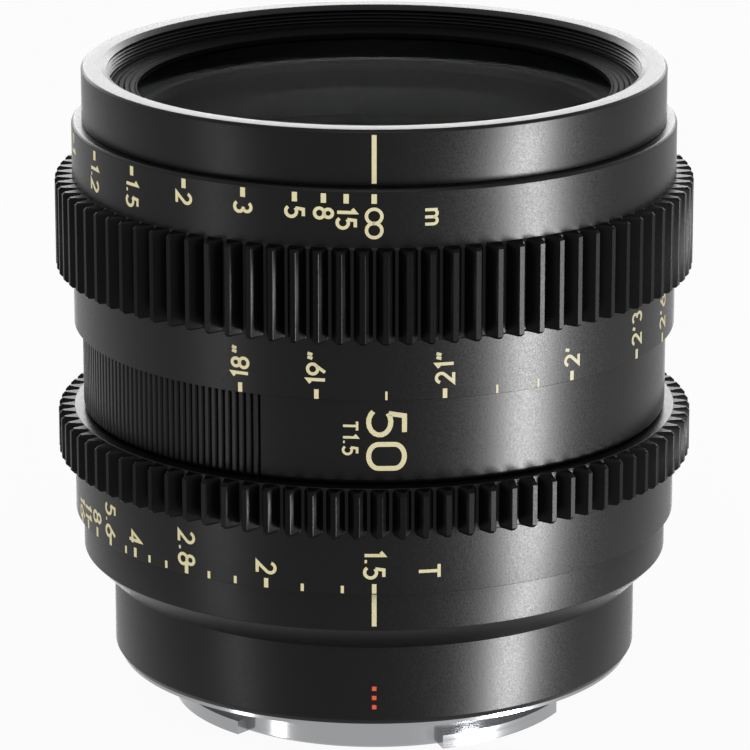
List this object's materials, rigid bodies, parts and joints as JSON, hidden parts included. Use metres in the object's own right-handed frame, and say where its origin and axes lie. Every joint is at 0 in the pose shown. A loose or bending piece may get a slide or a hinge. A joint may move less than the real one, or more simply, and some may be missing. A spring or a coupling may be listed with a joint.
{
  "type": "cinema prime lens",
  "caption": "Internal focusing cinema prime lens with geared focus and iris rings, a working diaphragm, a front filter thread and a three-tab rear bayonet.",
  "frame": {"origin": "on the optical axis at the rear end of the bayonet", "axes": "+Z along the optical axis towards the subject; the scale index lines face -Y"},
  "size_m": [0.0736, 0.0736, 0.0755],
  "materials": {
    "black_anodised": "satin black anodised",
    "inner_black": "matte black anodised",
    "chromed_brass": "chrome plated brass, turned",
    "coated_glass": "polished optical glass with a broadband coating",
    "screw_steel": "plain stainless steel",
    "blade_steel": "blackened spring steel",
    "brass_shim": "rolled brass shim",
    "acetal": "machined acetal"
  },
  "bodies": {
    "root": {"main_barrel": "black_anodised", "grip_segment": "black_anodised", "front_ring": "black_anodised", "front_retaining_ring": "black_anodised", "front_element": "coated_glass", "front_ring_screws": "screw_steel", "middle_slip_ring": "acetal", "front_slip_ring": "acetal", "iris_slip_ring": "acetal", "focus_stop_pin": "screw_steel", "iris_stop_pin": "screw_steel", "index_ring": "black_anodised", "index_ring_dowel": "screw_steel", "rear_barrel": "black_anodised", "bayonet_ring": "chromed_brass", "mount_shim": "brass_shim", "bayonet_screws": "screw_steel", "rear_light_baffle": "inner_black"},
    "focus_ring": {"focus_ring": "black_anodised", "cam_sleeve": "inner_black", "focus_ring_screws": "screw_steel"},
    "optical_block": {"focus_carrier": "inner_black", "cam_rollers": "acetal", "roller_screws": "screw_steel", "front_cell": "inner_black", "element_2": "coated_glass", "element_3": "coated_glass", "element_4": "coated_glass", "inner_spacer": "inner_black", "front_cell_retaining_ring": "inner_black", "rear_cell": "inner_black", "element_5": "coated_glass", "element_6": "coated_glass", "element_7": "coated_glass", "rear_spacer": "inner_black", "rear_retaining_ring": "inner_black", "iris_base_plate": "inner_black", "iris_retaining_ring": "screw_steel"},
    "iris_ring": {"iris_ring": "black_anodised", "iris_key": "screw_steel", "iris_key_screw": "screw_steel"},
    "iris_actuator": {"iris_actuator": "inner_black"},
    "iris_blade_01": {"iris_blade_01": "blade_steel"},
    "iris_blade_02": {"iris_blade_02": "blade_steel"},
    "iris_blade_03": {"iris_blade_03": "blade_steel"},
    "iris_blade_04": {"iris_blade_04": "blade_steel"},
    "iris_blade_05": {"iris_blade_05": "blade_steel"},
    "iris_blade_06": {"iris_blade_06": "blade_steel"},
    "iris_blade_07": {"iris_blade_07": "blade_steel"},
    "iris_blade_08": {"iris_blade_08": "blade_steel"},
    "iris_blade_09": {"iris_blade_09": "blade_steel"},
    "iris_blade_10": {"iris_blade_10": "blade_steel"},
    "iris_blade_11": {"iris_blade_11": "blade_steel"},
    "iris_blade_12": {"iris_blade_12": "blade_steel"}
  },
  "joints": [
    {"name": "focus_turn", "type": "hinge", "parent": "root", "child": "focus_ring", "pos_m": [0, 0, 0.057], "axis": [0, 0, 1], "range_deg": [0, 205]},
    {"name": "focus_shift", "type": "slide", "parent": "root", "child": "optical_block", "axis": [0, 0, 1], "range_m": [0, 0.005]},
    {"name": "iris_turn", "type": "hinge", "parent": "root", "child": "iris_ring", "pos_m": [0, 0, 0.029], "axis": [0, 0, 1], "range_deg": [0, 76]},
    {"name": "actuator_turn", "type": "hinge", "parent": "optical_block", "child": "iris_actuator", "pos_m": [0, 0, 0.031], "axis": [0, 0, 1], "range_deg": [0, 76]},
    {"name": "iris_blade_01_swing", "type": "hinge", "parent": "optical_block", "child": "iris_blade_01", "pos_m": [0.0225, 0, 0.0327], "axis": [0, 0, 1], "range_deg": [0, 32.1]},
    {"name": "iris_blade_02_swing", "type": "hinge", "parent": "optical_block", "child": "iris_blade_02", "pos_m": [0.01949, 0.01125, 0.0327], "axis": [0, 0, 1], "range_deg": [0, 32.1]},
    {"name": "iris_blade_03_swing", "type": "hinge", "parent": "optical_block", "child": "iris_blade_03", "pos_m": [0.01125, 0.01949, 0.0327], "axis": [0, 0, 1], "range_deg": [0, 32.1]},
    {"name": "iris_blade_04_swing", "type": "hinge", "parent": "optical_block", "child": "iris_blade_04", "pos_m": [0, 0.0225, 0.0327], "axis": [0, 0, 1], "range_deg": [0, 32.1]},
    {"name": "iris_blade_05_swing", "type": "hinge", "parent": "optical_block", "child": "iris_blade_05", "pos_m": [-0.01125, 0.01949, 0.0327], "axis": [0, 0, 1], "range_deg": [0, 32.1]},
    {"name": "iris_blade_06_swing", "type": "hinge", "parent": "optical_block", "child": "iris_blade_06", "pos_m": [-0.01949, 0.01125, 0.0327], "axis": [0, 0, 1], "range_deg": [0, 32.1]},
    {"name": "iris_blade_07_swing", "type": "hinge", "parent": "optical_block", "child": "iris_blade_07", "pos_m": [-0.0225, 0, 0.0327], "axis": [0, 0, 1], "range_deg": [0, 32.1]},
    {"name": "iris_blade_08_swing", "type": "hinge", "parent": "optical_block", "child": "iris_blade_08", "pos_m": [-0.01949, -0.01125, 0.0327], "axis": [0, 0, 1], "range_deg": [0, 32.1]},
    {"name": "iris_blade_09_swing", "type": "hinge", "parent": "optical_block", "child": "iris_blade_09", "pos_m": [-0.01125, -0.01949, 0.0327], "axis": [0, 0, 1], "range_deg": [0, 32.1]},
    {"name": "iris_blade_10_swing", "type": "hinge", "parent": "optical_block", "child": "iris_blade_10", "pos_m": [0, -0.0225, 0.0327], "axis": [0, 0, 1], "range_deg": [0, 32.1]},
    {"name": "iris_blade_11_swing", "type": "hinge", "parent": "optical_block", "child": "iris_blade_11", "pos_m": [0.01125, -0.01949, 0.0327], "axis": [0, 0, 1], "range_deg": [0, 32.1]},
    {"name": "iris_blade_12_swing", "type": "hinge", "parent": "optical_block", "child": "iris_blade_12", "pos_m": [0.01949, -0.01125, 0.0327], "axis": [0, 0, 1], "range_deg": [0, 32.1]}
  ],
  "couplings": [
    {"joint": "focus_shift", "follows": "focus_turn", "m_per_rad": 0.0013974},
    {"joint": "actuator_turn", "follows": "iris_turn", "ratio": 1},
    {"joint": "iris_blade_01_swing", "follows": "iris_turn", "ratio": 0.42235},
    {"joint": "iris_blade_02_swing", "follows": "iris_turn", "ratio": 0.42235},
    {"joint": "iris_blade_03_swing", "follows": "iris_turn", "ratio": 0.42235},
    {"joint": "iris_blade_04_swing", "follows": "iris_turn", "ratio": 0.42235},
    {"joint": "iris_blade_05_swing", "follows": "iris_turn", "ratio": 0.42235},
    {"joint": "iris_blade_06_swing", "follows": "iris_turn", "ratio": 0.42235},
    {"joint": "iris_blade_07_swing", "follows": "iris_turn", "ratio": 0.42235},
    {"joint": "iris_blade_08_swing", "follows": "iris_turn", "ratio": 0.42235},
    {"joint": "iris_blade_09_swing", "follows": "iris_turn", "ratio": 0.42235},
    {"joint": "iris_blade_10_swing", "follows": "iris_turn", "ratio": 0.42235},
    {"joint": "iris_blade_11_swing", "follows": "iris_turn", "ratio": 0.42235},
    {"joint": "iris_blade_12_swing", "follows": "iris_turn", "ratio": 0.42235}
  ]
}
